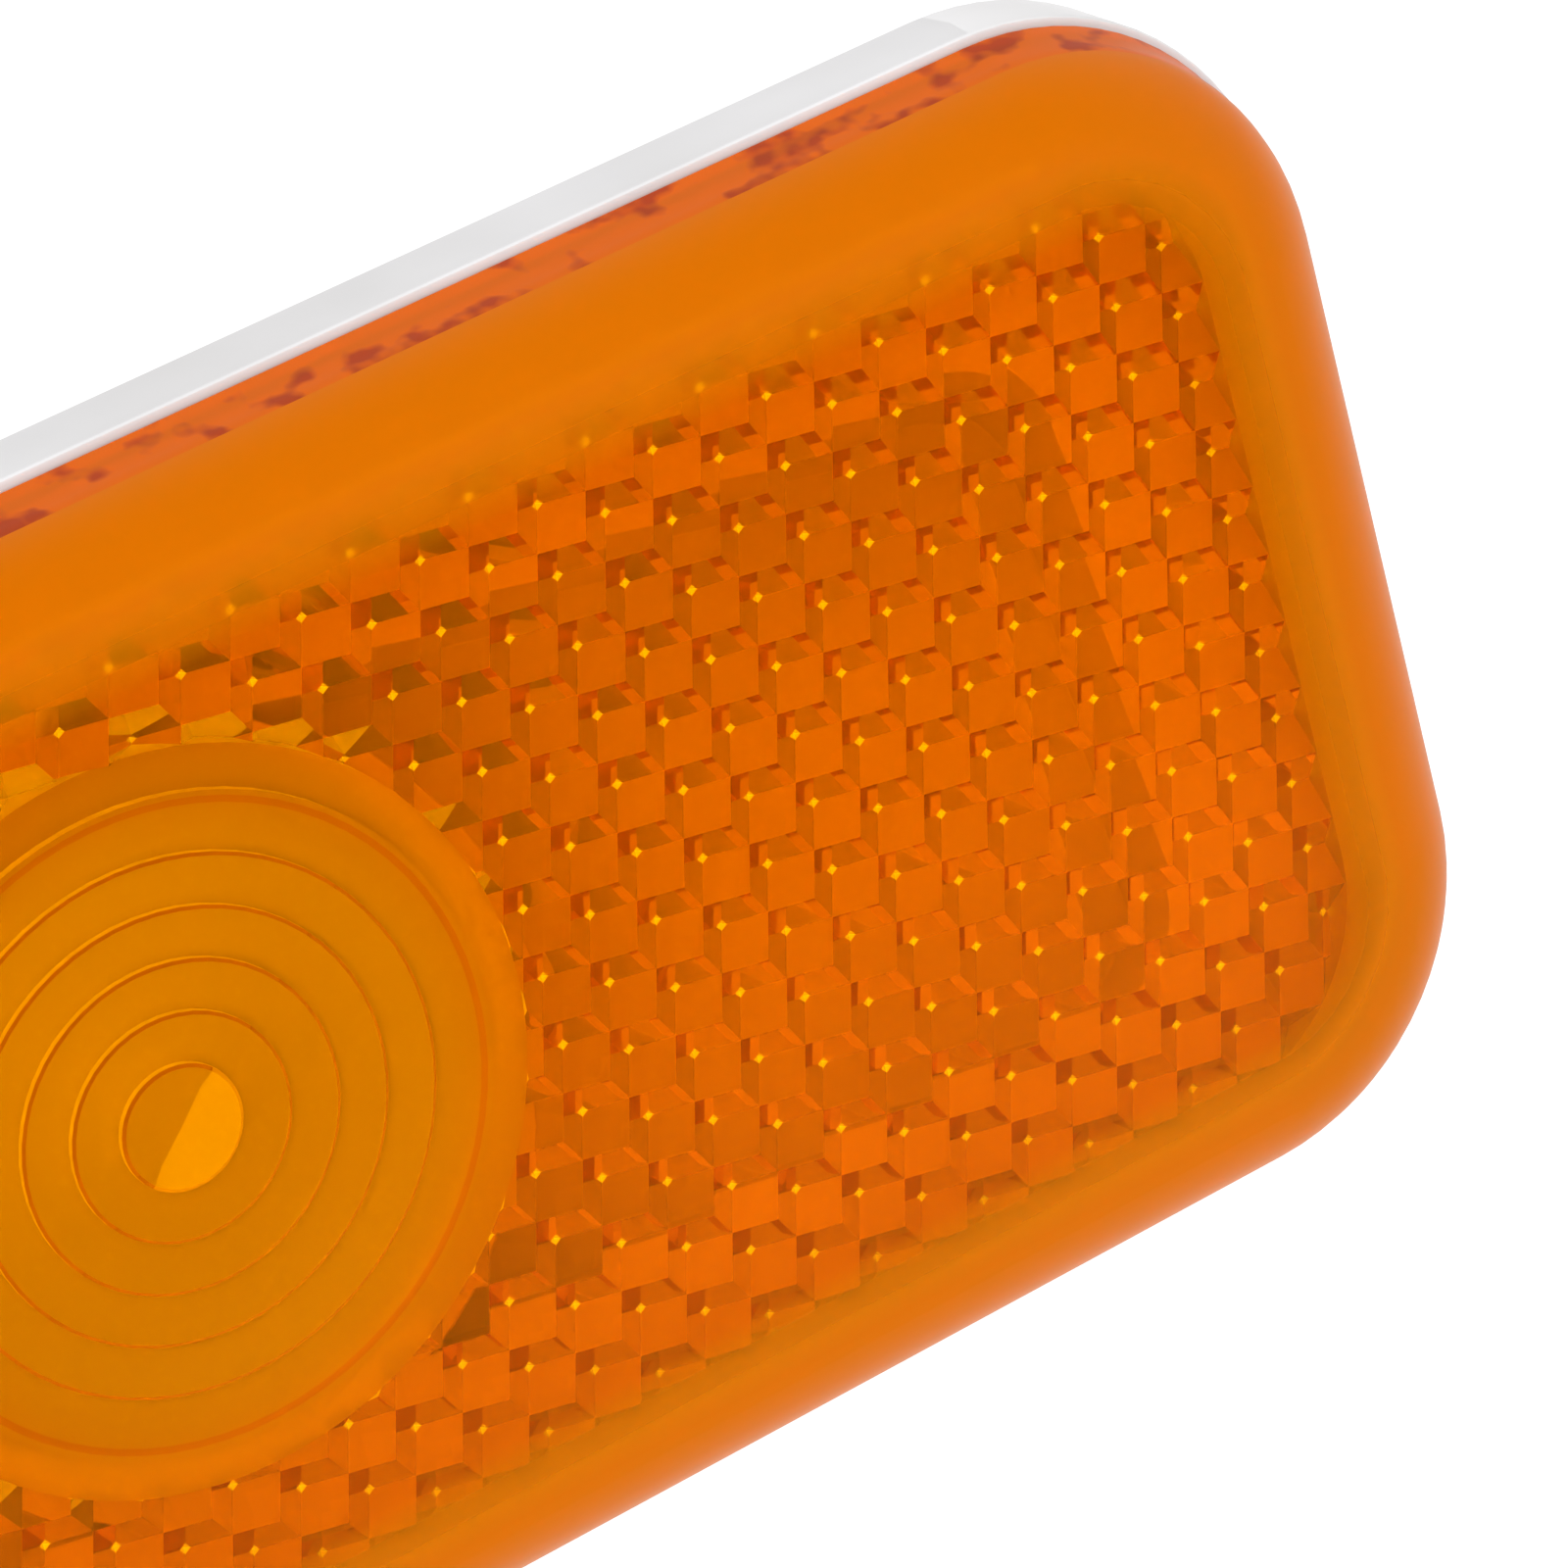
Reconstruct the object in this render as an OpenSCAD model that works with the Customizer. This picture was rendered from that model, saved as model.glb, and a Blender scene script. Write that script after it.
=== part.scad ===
// Side repeater lamp for a vehicle's wing: an amber lens with a reflex-reflector field and a
// bull's-eye, welded to a white housing that clips into a slot in the panel. A small wedge-base
// bulb stands on the bull's-eye's axis in a twist-in holder with a two-pin connector.
//
// Frame: X runs along the lamp, Z is up, the lens faces -Y, and Y = 0 is the outside of the panel.
// Each piece is drawn lying on its back, with its height along y and the way out along z, and is
// then stood up, so a negative z lies behind the panel. Sizes are in millimetres.

/* [Lens] */
// Length of the lens at its front, end to end
lens_l = 93.6; // [86:0.2:110]
// Height of the lens at its front
lens_h = 40.8; // [39:0.2:50]
// Radius of the lens's four corners, seen from the front
corner_r = 9.6; // [8:0.2:13]
// Radius of the rounded front edge
edge_r = 3; // [2.2:0.1:3.6]
// Depth of the lens from its front face to the joint with the housing
lens_depth = 4.4; // [4:0.1:7]
// Thickness of the front wall
front_wall = 2.4; // [1.8:0.1:2.8]
// Thickness of the side wall
side_wall = 2; // [1.4:0.1:2.6]
// How far the side wall leans out between the rounded edge and the joint
flare = 0.3; // [0:0.05:0.6]

/* [Reflector field] */
// Distance between the tips of neighbouring prisms
prism_pitch = 2.5; // [2:0.1:3.5]
// Clear border between the prisms and the lens's ends
border_x = 4.6; // [4.5:0.1:9]
// Clear border between the prisms and the lens's long edges
border_y = 3.4; // [3.2:0.1:6]
// Radius of the field's corners
field_r = 6.4; // [3:0.2:9]
// Turn of each prism about its own tip
prism_turn = 0; // [0:upright, 180:reversed]
// Sideways place of the prism rows against the lens's middle
row_shift_x = 0.5; // [-1:0.05:1]
// Upward place of the prism rows against the lens's middle
row_shift_y = 0.9; // [-1.2:0.05:1.2]

/* [Bull's-eye] */
// Radius of the middle disc
disc_r = 2.1; // [1.6:0.1:2.6]
// Width of each ring round it
ring_w = 1.7; // [1.4:0.02:1.8]
// Number of rings
rings = 5; // [2:1:5]
// Depth of the step between two rings
ring_step = 0.5; // [0.2:0.05:0.7]
// Outer radius of the plain rib that ends the bull's-eye
eye_r = 12.3; // [12:0.1:14]
// Width of that rib
eye_rib = 1.4; // [0.8:0.1:2]

/* [Housing] */
// Height of the white band between the lens and the panel
band = 3.2; // [2.8:0.1:6]
// Gap between the band and the panel, which the gasket fills further in
panel_gap = 0.4; // [0.2:0.1:1]
// How far the band stands out past the lens, all round
band_proud = 0.3; // [0:0.05:1]
// Thickness of the housing's floor and walls
shell_t = 1.8; // [1.4:0.1:2.2]
// Length of the box that passes through the panel
box_l = 76; // [60:1:78]
// Height of the box that passes through the panel
box_h = 27; // [27:0.5:30]
// Corner radius of that box
box_r = 5; // [3:0.5:8]
// Depth of that box behind the panel
box_depth = 11; // [8:0.5:14]
// Depth of the bulb tube behind the panel
tube_depth = 20; // [18:0.5:26]
// Radius of the bulb tube's mouth, behind the bull's-eye
mouth_r = 11.8; // [11:0.1:12]
// Radius of the hole that the bulb holder plugs into
socket_r = 9.6; // [8.8:0.1:10]
// Thickness of the panel that the lamp clips into
panel_t = 1.2; // [0.7:0.1:2]

/* [Gasket and clip] */
// Thickness of the gasket when squeezed
gasket_t = 1.2; // [1:0.1:1.4]
// Width of the gasket
gasket_w = 3; // [2:0.1:3.4]
// Thickness of the spring clip's strip
clip_t = 0.6; // [0.4:0.1:0.8]
// Width of the spring clip's strip
clip_w = 9; // [6:0.5:14]

/* [Bulb] */
// Diameter of the bulb's glass
bulb_d = 10.2; // [8:0.1:10.4]
// Length of the bulb from its tip to the end of its wedge base
bulb_l = 26.8; // [24:0.2:28]
// Length of the wedge base
wedge_l = 10.4; // [9:0.2:11]
// Thickness of the wedge base
wedge_t = 2.1; // [1.8:0.1:2.4]
// Width of the wedge base
wedge_w = 9.2; // [8.5:0.1:9.5]
// Thickness of the bulb's glass
glass_t = 0.6; // [0.4:0.1:0.8]

/* [Bulb holder] */
// Clearance between the holder's plug and the housing's hole
plug_gap = 0.3; // [0.1:0.05:0.6]
// Thickness of the holder's flange
flange_t = 2; // [1.4:0.1:3]
// Radius of the holder's flange
flange_r = 13.6; // [13:0.1:15]
// Thickness of the seal ring when squeezed
seal_t = 1.4; // [1:0.1:2]
// Length of the connector behind the flange
connector_l = 18; // [16:0.5:24]
// Inside width of the connector
connector_w = 13.6; // [12:0.2:16]
// Inside height of the connector
connector_h = 7.6; // [6:0.2:9]
// Wall of the connector
connector_t = 1.4; // [1:0.1:2]
// Distance between the two pins
pin_pitch = 5.6; // [5.2:0.1:6]
// Thickness of each pin
pin_t = 0.8; // [0.6:0.1:0.9]
// Width of each pin
pin_w = 2.8; // [2:0.1:3.2]

/* [Hidden] */

$fn = 64;
overlap = 0.2;
joint_z = panel_gap + band;
front_z = joint_z + lens_depth;
lens_back_z = front_z - front_wall;
floor_z = panel_gap + shell_t;

// A corner cube seen along its diagonal is a hexagon: three square faces fall from its tip in
// two equal steps, so the sites of the surface form a triangular grid with three levels.
grid = prism_pitch / sqrt(3);
level = prism_pitch / sqrt(6);
field_l = lens_l - 2 * border_x;
field_h = lens_h - 2 * border_y;

band_l = lens_l + 2 * (flare + band_proud);
band_h = lens_h + 2 * (flare + band_proud);
band_r = corner_r + flare + band_proud;
weld_gap = 0.15;
weld_w = 0.6;
lip_t = 0.8;
lip_h = 0.7;
lip_gap = 0.1;
cavity_round = min(1.4, lens_back_z - joint_z - lip_h + lip_gap);

gasket_inset = 2.8;
tube_wall = 1.4;
lock_lip = 2.4;
lug_t = 1.8;
lug_out = 1.5;
lug_gap = 0.2;
lug_w = 4.5;
lug_run = 0.4;
chamber_r = socket_r + lug_out + lug_run;
tube_r = chamber_r + tube_wall;
box_back_z = -box_depth;
tube_back_z = -tube_depth;

panel_slack = 0.1;
catch_z = -panel_t - panel_slack;
hook_out = 3.4;
hook_w = 12;
hook_t = 2.4;
hook_chamfer = 1;
hook_root = 2;
clip_gap = 0.15;
clip_top_z = catch_z - 1.9;
clip_out = 2.7;
clip_knee = 2.6;
bend_r = 1.1;
bend_z = box_back_z + 0.4;
guide_t = 1.2;
guide_z = box_back_z + 1.5;
guide_h = clip_top_z - 0.3 - guide_z;

seal_r = socket_r + lug_out + seal_t / 2;
seal_w = 0.5;
flange_z = tube_back_z - seal_t;
holder_back_z = flange_z - flange_t - connector_l;
plug_r = socket_r - plug_gap;
plug_top_z = tube_back_z + lock_lip + lug_gap + lug_t;
seat_gap = 0.2;
wedge_z = plug_top_z + seat_gap;
wedge_end_z = wedge_z - wedge_l;
tip_z = wedge_end_z + bulb_l;
shoulder_in = 1.4;
shoulder_h = 2.2;
shoulder_z = wedge_z + shoulder_h;
filament_rise = 4.2;
filament_z = shoulder_z + filament_rise;
filament_d = 0.6;
post_x = 2.65;
leaf_drop = 1;
leaf_below = 2.4;
web_z = wedge_end_z - leaf_below;
web_t = 1.6;
wedge_gap = 0.25;
wire_d = 0.5;
wire_x = 2.8;
wire_fold = 7.2;
leaf_t = 0.5;
leaf_w = 2.6;
leaf_y = wedge_t / 2 + wire_d + leaf_t / 2;
foot_t = 0.6;
pocket_gap = 0.2;
pin_inset = 4;
pin_end_z = holder_back_z + pin_inset;
grip_t = 1.2;
grip_l = 8;
latch_w = 5;
latch_t = 1.2;
latch_l = 4;
latch_inset = 3;

amber = "darkorange";
white = "whitesmoke";
rubber = "dimgray";
ivory = "ivory";
steel = "silver";
tinned = "goldenrod";
clear = "lightcyan";

// Stands a piece up: height goes along Z and the way out goes along -Y.
module stand() {
    rotate([90, 0, 0]) children();
}

// Half of an edge section: a wall that reaches out to `reach`, leans out by `lean` towards its
// foot at z0, and ends in a rounded edge at z1.
module edge_section(reach, z0, z1, round_r, lean) {
    polygon([[0, z0], [reach + lean, z0], [reach, z1 - round_r], [0, z1 - round_r]]);
    if (round_r > 0) {
        translate([0, z1 - round_r]) square([reach - round_r, round_r]);
        intersection() {
            translate([reach - round_r, z1 - round_r]) circle(r = round_r);
            translate([reach - round_r, z1 - round_r]) square(round_r);
        }
    }
}

// A plate with round corners, from z0 to z1, with its front edge rounded all round.
module plate(l, h, r, z0, z1, round_r = 0, lean = 0) {
    for (turn = [0, 180]) {
        rotate(turn) {
            translate([l / 2 - r, h / 2 - r, 0])
                rotate_extrude(angle = 90) edge_section(r, z0, z1, round_r, lean);
            translate([r - l / 2, h / 2 - r, 0])
                rotate(90) rotate_extrude(angle = 90) edge_section(r, z0, z1, round_r, lean);
            rotate([90, 0, 90]) linear_extrude(l - 2 * r, center = true)
                edge_section(h / 2, z0, z1, round_r, lean);
            translate([l / 2 - r, 0, 0]) rotate([90, 0, 0])
                linear_extrude(h - 2 * r, center = true) edge_section(r, z0, z1, round_r, lean);
        }
    }
}

// A flat strip that follows a line of points, as a polygon of thickness t.
module ribbon(points, t) {
    last = len(points) - 1;
    along = [for (i = [0:last - 1]) (points[i + 1] - points[i]) / norm(points[i + 1] - points[i])];
    side = [for (i = [0:last])
        let (a = along[max(i - 1, 0)], b = along[min(i, last - 1)], n = [-a.y - b.y, a.x + b.x])
            n / (n * [-a.y, a.x])];
    polygon(concat([for (i = [0:last]) points[i] + side[i] * t / 2],
                   [for (i = [last:-1:0]) points[i] - side[i] * t / 2]));
}

// The prism field's surface before it is trimmed: a block whose top is the grid of levels.
module prism_block() {
    rows = ceil((field_h / 2 + prism_pitch) / (grid * sqrt(3) / 2));
    columns = ceil((field_l / 2 + prism_pitch) / grid);
    width = 2 * columns + 1;
    count = (2 * rows + 1) * width;
    base = front_wall / 2;
    // A row of the grid runs along x, and every second row is moved on by half a step.
    function site(i, j) = [grid * (i + (j % 2 == 0 ? 0 : 0.5)), grid * j * sqrt(3) / 2];
    function rank(i, j) = (i - floor(j / 2) + 2 * j + 3 * (rows + columns)) % 3;
    top = [for (j = [-rows:rows], i = [-columns:columns])
        [site(i, j).x, site(i, j).y, level * (2 - rank(i, j))]];
    function id(i, j) = (j + rows) * width + i + columns;
    cells = [for (j = [-rows:rows - 1], i = [-columns:columns - 1]) [i, j]];
    top_faces = [for (c = cells) for (f = c.y % 2 == 0 ?
        [[id(c.x, c.y), id(c.x, c.y + 1), id(c.x + 1, c.y)],
         [id(c.x + 1, c.y), id(c.x, c.y + 1), id(c.x + 1, c.y + 1)]] :
        [[id(c.x, c.y), id(c.x, c.y + 1), id(c.x + 1, c.y + 1)],
         [id(c.x, c.y), id(c.x + 1, c.y + 1), id(c.x + 1, c.y)]]) f];
    ring = concat([for (i = [-columns:columns - 1]) id(i, -rows)],
                  [for (j = [-rows:rows - 1]) id(columns, j)],
                  [for (i = [columns:-1:1 - columns]) id(i, rows)],
                  [for (j = [rows:-1:1 - rows]) id(-columns, j)]);
    turns = len(ring);
    bottom = [for (k = ring) [top[k].x, top[k].y, -base]];
    sides = [for (k = [0:turns - 1]) let (next = (k + 1) % turns)
        [ring[k], ring[next], count + next, count + k]];
    // The flat underside is a fan round its middle, so no triangle of it is a sliver.
    fan = [for (k = [0:turns - 1]) [count + k, count + (k + 1) % turns, count + turns]];
    polyhedron(points = concat(top, bottom, [[0, 0, -base]]), faces = concat(top_faces, sides, fan));
}

module prism_field() {
    intersection() {
        translate([row_shift_x, row_shift_y, lens_back_z]) rotate([180, 0, prism_turn]) prism_block();
        difference() {
            plate(field_l, field_h, field_r, lens_back_z - 3 * level, lens_back_z + front_wall / 4);
            cylinder(r = eye_r, h = 4 * front_z, center = true);
        }
    }
}

// The bull's-eye: a domed disc and rings that each fall away outwards, as steps cut from one
// thick lens, ended by a plain rib.
module bulls_eye() {
    ring_steps = [for (k = [0:rings - 1]) let (r = disc_r + k * ring_w)
        each [[r, -ring_step], [r + ring_w, 0]]];
    outer_r = disc_r + rings * ring_w;
    translate([0, 0, lens_back_z]) {
        rotate_extrude() polygon(concat([[0, front_wall / 4], [0, -ring_step / 2],
            [disc_r, 0]], ring_steps, [[outer_r, front_wall / 4]]));
        rotate_extrude() translate([eye_r - eye_rib, -ring_step])
            square([eye_rib, ring_step + front_wall / 4]);
    }
}

module lens_cavity() {
    plate(lens_l - 2 * side_wall, lens_h - 2 * side_wall, corner_r - side_wall,
          joint_z - overlap, lens_back_z, cavity_round, flare);
}

// The lens's foot stands just clear of the rim on a narrow rib, which melts into the weld.
module weld_rib() {
    out = flare - (side_wall - weld_w) / 2;
    difference() {
        plate(lens_l + 2 * out, lens_h + 2 * out, corner_r + out, joint_z, joint_z + 2 * weld_gap);
        plate(lens_l + 2 * (out - weld_w), lens_h + 2 * (out - weld_w), corner_r + out - weld_w,
              joint_z - 1, joint_z + 1);
    }
}

module lens() {
    color(amber) stand() {
        difference() {
            plate(lens_l, lens_h, corner_r, joint_z + weld_gap, front_z, edge_r, flare);
            lens_cavity();
        }
        weld_rib();
        prism_field();
        bulls_eye();
    }
}

module gasket_ring(z0, z1, widen) {
    l = band_l - 2 * gasket_inset;
    h = band_h - 2 * gasket_inset;
    r = band_r - gasket_inset;
    difference() {
        plate(l + 2 * widen, h + 2 * widen, r + widen, z0, z1);
        plate(l - 2 * gasket_w - 2 * widen, h - 2 * gasket_w - 2 * widen,
              r - gasket_w - widen, z0 - 1, z1 + 1);
    }
}

// The bulb tube, outside and inside: a funnel behind the bull's-eye, then the chamber in which
// the holder's lugs turn, then the lip that they lock behind.
module tube_outside() {
    rotate_extrude() polygon([[0, tube_back_z], [tube_r, tube_back_z], [tube_r, box_back_z],
        [mouth_r + tube_wall, floor_z], [0, floor_z]]);
}

module tube_inside() {
    chamber_z = tube_back_z + lock_lip;
    rotate_extrude() polygon([[0, chamber_z], [chamber_r, chamber_z], [chamber_r, box_back_z],
        [mouth_r, floor_z + 1], [0, floor_z + 1]]);
    translate([0, 0, tube_back_z - 1]) cylinder(r = socket_r, h = lock_lip + 2);
}

module lug_notches() {
    for (turn = [30:120:270]) {
        rotate(turn) translate([socket_r / 2, -lug_w / 2 - lug_gap, tube_back_z - 1])
            cube([socket_r / 2 + lug_out + lug_gap, lug_w + 2 * lug_gap, lock_lip + 2]);
    }
}

module tube_gussets() {
    gusset_h = 6;
    gusset_l = 7;
    for (turn = [0, 180]) {
        rotate(turn) translate([tube_r - overlap, shell_t / 2, box_back_z + overlap]) rotate([90, 0, 0])
            linear_extrude(shell_t) polygon([[0, 0], [gusset_l, 0], [0, -gusset_h]]);
    }
}

// The fixed hook at one end of the box, which goes behind the panel first.
module hook() {
    root_x = overlap - box_l / 2;
    nose_x = -box_l / 2 - hook_out;
    translate([0, hook_w / 2, catch_z]) rotate([90, 0, 0]) linear_extrude(hook_w)
        polygon([[root_x, 0], [nose_x, 0], [nose_x, -hook_t / 2],
                 [nose_x + hook_chamfer, -hook_t], [root_x, -hook_t - hook_root]]);
}

// Two ribs with turned-in edges that hold the spring clip's inner leg against the box's end.
module clip_guides() {
    depth = clip_t + 2 * clip_gap;
    for (side = [-1, 1]) {
        edge_y = side * (clip_w / 2 + clip_gap);
        translate([box_l / 2 - overlap, edge_y + (side - 1) * guide_t / 2, guide_z])
            cube([depth + guide_t + overlap, guide_t, guide_h]);
        translate([box_l / 2 + depth, edge_y - guide_t, guide_z])
            cube([guide_t, 2 * guide_t, guide_h]);
    }
}

module housing() {
    lip_inset = side_wall + lip_gap;
    lip_l = lens_l - 2 * lip_inset;
    lip_w = lens_h - 2 * lip_inset;
    lip_r = corner_r - lip_inset;
    color(white) stand() difference() {
        union() {
            plate(band_l, band_h, band_r, panel_gap, joint_z);
            plate(lip_l, lip_w, lip_r, joint_z - overlap, joint_z + lip_h);
            plate(box_l, box_h, box_r, box_back_z, floor_z);
            tube_outside();
            tube_gussets();
            hook();
            clip_guides();
        }
        plate(lip_l - 2 * lip_t, lip_w - 2 * lip_t, lip_r - lip_t, floor_z, joint_z + lip_h + 1);
        difference() {
            plate(box_l - 2 * shell_t, box_h - 2 * shell_t, box_r - shell_t,
                  box_back_z + shell_t, floor_z + overlap);
            tube_outside();
        }
        tube_inside();
        lug_notches();
        gasket_ring(panel_gap - 1, gasket_t, 0);
    }
}

module panel_gasket() {
    color(rubber) stand() gasket_ring(0, gasket_t, 0);
}

// A strip bent double: the inner leg slides into the guides, and the outer leg springs out
// behind the edge of the panel.
module spring_clip() {
    x = box_l / 2 + clip_gap + clip_t / 2;
    bend = [for (a = [180:30:330]) [x + bend_r + bend_r * cos(a), bend_z + bend_r * sin(a)]];
    catch = [[x + clip_out, catch_z - clip_knee], [x + clip_out - clip_t, catch_z - clip_knee / 2],
             [x + clip_out - 3 * clip_t, catch_z - clip_t / 2]];
    color(steel) stand() translate([0, clip_w / 2, 0]) rotate([90, 0, 0]) linear_extrude(clip_w)
        ribbon(concat([[x, clip_top_z]], bend, catch), clip_t);
}

module lugs() {
    for (turn = [90:120:330]) {
        rotate(turn) translate([plug_r / 2, -lug_w / 2, tube_back_z + lock_lip + lug_gap])
            cube([plug_r / 2 + plug_gap + lug_out - lug_gap, lug_w, lug_t]);
    }
}

// The room in the holder for one terminal's leaf and the wire that it presses.
module terminal_pocket(side) {
    depth = 2 * (leaf_t + pocket_gap);
    translate([side * wire_x - leaf_w / 2 - pocket_gap, side * leaf_y - depth / 2, web_z])
        cube([leaf_w + 2 * pocket_gap, depth, plug_top_z - web_z + 1]);
}

module bulb_holder() {
    connector_z = flange_z - flange_t;
    outer_w = connector_w + 2 * connector_t;
    outer_h = connector_h + 2 * connector_t;
    color(ivory) stand() difference() {
        union() {
            translate([0, 0, flange_z]) cylinder(r = plug_r, h = plug_top_z - flange_z);
            translate([0, 0, connector_z]) cylinder(r = flange_r, h = flange_t);
            translate([-outer_w / 2, -outer_h / 2, holder_back_z])
                cube([outer_w, outer_h, connector_l + overlap]);
            translate([-outer_w / 2 - grip_t, -grip_t / 2, connector_z - grip_l])
                cube([outer_w + 2 * grip_t, grip_t, grip_l + overlap]);
            translate([-latch_w / 2, 0, holder_back_z + latch_inset])
                cube([latch_w, outer_h / 2 + latch_t, latch_l]);
            lugs();
        }
        translate([-connector_w / 2, -connector_h / 2, holder_back_z - 1])
            cube([connector_w, connector_h, web_z - web_t - holder_back_z + 1]);
        translate([-wedge_w / 2 - wedge_gap, -wedge_t / 2 - wedge_gap, wedge_end_z - wire_d - wedge_gap])
            cube([wedge_w + 2 * wedge_gap, wedge_t + 2 * wedge_gap, bulb_l]);
        for (side = [-1, 1]) {
            terminal_pocket(side);
            terminal_foot(side);
            terminal_pin(side);
        }
    }
}

// A rubber ring squeezed between the flange and the end of the tube: flat there, round beside.
module holder_seal() {
    color(rubber) stand() translate([0, 0, flange_z + seal_t / 2]) rotate_extrude() {
        translate([seal_r, -seal_t / 2]) square([seal_w, seal_t]);
        translate([seal_r, 0]) circle(d = seal_t);
        translate([seal_r + seal_w, 0]) circle(d = seal_t);
    }
}

// The pin that the plug's socket slides on.
module terminal_pin(side) {
    translate([side * pin_pitch / 2 - pin_t / 2, -pin_w / 2, pin_end_z])
        cube([pin_t, pin_w, web_z + foot_t - pin_end_z]);
}

// The foot that joins the pin, in the middle of the holder, to the leaf beside the wedge.
module terminal_foot(side) {
    translate([side * pin_pitch / 2, side * leaf_y / 2, web_z + foot_t / 2])
        cube([pin_t, leaf_y, foot_t], center = true);
}

// A spring leaf presses the bulb's wire, and its foot and pin carry the current out.
module terminal(side) {
    translate([side * wire_x - leaf_w / 2, side * leaf_y - leaf_t / 2, web_z])
        cube([leaf_w, leaf_t, plug_top_z - leaf_drop - web_z]);
    terminal_foot(side);
    terminal_pin(side);
}

module terminal_feed() {
    color(tinned) stand() terminal(1);
}

module terminal_earth() {
    color(tinned) stand() terminal(-1);
}

// Blown glass with a domed tip, pinched flat at its foot into the wedge.
module bulb_glass() {
    r = bulb_d / 2;
    color(clear) stand() {
        difference() {
            union() {
                translate([0, 0, tip_z - r]) sphere(r = r);
                translate([0, 0, shoulder_z]) cylinder(r = r, h = tip_z - r - shoulder_z);
                translate([0, 0, wedge_z]) cylinder(r1 = r - shoulder_in, r2 = r, h = shoulder_z - wedge_z);
            }
            translate([0, 0, tip_z - r]) sphere(r = r - glass_t);
            translate([0, 0, shoulder_z]) cylinder(r = r - glass_t, h = tip_z - r - shoulder_z);
        }
        translate([-wedge_w / 2, -wedge_t / 2, wedge_end_z]) cube([wedge_w, wedge_t, wedge_l + overlap]);
    }
}

// A fine coil between the two supports, drawn as one rod.
module bulb_filament() {
    color(steel) stand() translate([0, 0, filament_z]) rotate([0, 90, 0])
        cylinder(d = filament_d, h = 2 * post_x - wire_d, center = true);
}

// Two supports stand inside the glass. Below it their wires fold up along the wedge's faces.
module bulb_lead_wires() {
    color(steel) stand() for (side = [-1, 1]) {
        translate([side * post_x, 0, shoulder_z])
            cylinder(d = wire_d, h = filament_z + filament_d - shoulder_z);
        translate([side * wire_x, side * (wedge_t / 2 + wire_d / 2), wedge_end_z - wire_d / 2])
            cylinder(d = wire_d, h = wire_fold);
        translate([side * wire_x, 0, wedge_end_z - wire_d / 2]) rotate([-90 * side, 0, 0])
            cylinder(d = wire_d, h = wedge_t / 2 + wire_d / 2);
    }
}

lens();
housing();
panel_gasket();
spring_clip();
bulb_holder();
holder_seal();
terminal_feed();
terminal_earth();
bulb_glass();
bulb_filament();
bulb_lead_wires();
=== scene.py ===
from math import radians

import bmesh
import bpy
from bpy.props import FloatProperty, FloatVectorProperty, IntProperty, PointerProperty
from mathutils import Matrix, Vector


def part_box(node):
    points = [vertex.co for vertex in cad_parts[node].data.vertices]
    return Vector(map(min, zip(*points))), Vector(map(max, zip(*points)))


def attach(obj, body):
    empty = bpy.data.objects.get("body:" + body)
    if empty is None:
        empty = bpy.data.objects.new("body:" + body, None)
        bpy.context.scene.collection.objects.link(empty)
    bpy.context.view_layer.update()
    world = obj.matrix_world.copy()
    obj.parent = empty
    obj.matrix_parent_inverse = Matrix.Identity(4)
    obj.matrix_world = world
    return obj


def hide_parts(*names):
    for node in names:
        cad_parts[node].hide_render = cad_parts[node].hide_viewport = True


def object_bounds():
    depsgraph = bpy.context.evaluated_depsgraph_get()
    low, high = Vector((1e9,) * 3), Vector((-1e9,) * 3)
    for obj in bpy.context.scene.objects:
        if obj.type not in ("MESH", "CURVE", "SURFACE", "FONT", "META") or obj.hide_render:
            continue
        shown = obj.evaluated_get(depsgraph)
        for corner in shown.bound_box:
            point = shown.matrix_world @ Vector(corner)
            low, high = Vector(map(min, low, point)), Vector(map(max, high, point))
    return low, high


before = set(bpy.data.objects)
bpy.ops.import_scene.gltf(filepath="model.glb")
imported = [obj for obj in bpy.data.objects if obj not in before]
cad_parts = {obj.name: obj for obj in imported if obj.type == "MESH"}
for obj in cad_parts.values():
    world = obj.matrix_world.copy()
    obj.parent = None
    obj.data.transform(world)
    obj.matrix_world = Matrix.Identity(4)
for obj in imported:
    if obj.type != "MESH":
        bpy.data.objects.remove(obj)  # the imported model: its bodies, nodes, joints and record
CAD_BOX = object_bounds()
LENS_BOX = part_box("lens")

bl_info = {
    "name": "Side repeater lamp",
    "version": (1, 0, 0),
    "blender": (4, 5, 0),
    "location": "3D View > Sidebar > Repeater",
    "description": "Finishes the side repeater lamp's pieces and lights them",
    "category": "Add Mesh",
}

MM = 0.001
SMALL = 1e-6
CLOSE = 10 * SMALL

# The camera stands to the left, in front and above, and is rolled so that the lamp rises to the right.
CAMERA_PLACE = Vector((-69.978, -204.417, 104.607)) * MM
CAMERA_TURN = (63.9031, 13.8384, -31.8291)
CAMERA_LENS = 173.149
SENSOR = 36.0

# The floor lies under the lamp. Its front part is painted as dim as the room there for mirrors, and its
# back part painted pale with a faint glow, as if lit from behind.
FLOOR_SIZE = 3.0
FLOOR_DROP = 60 * MM
FLOOR_DIM_TO = -160 * MM
FLOOR_PALE_FROM = -80 * MM
FLOOR_PAINTED_GLOW = 0.3

# Directions towards the window at the upper left, and towards the pale room behind and above.
WINDOW = (-0.66, -0.3, 0.69)
BEHIND = (0, 0.93, 0.37)

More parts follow.
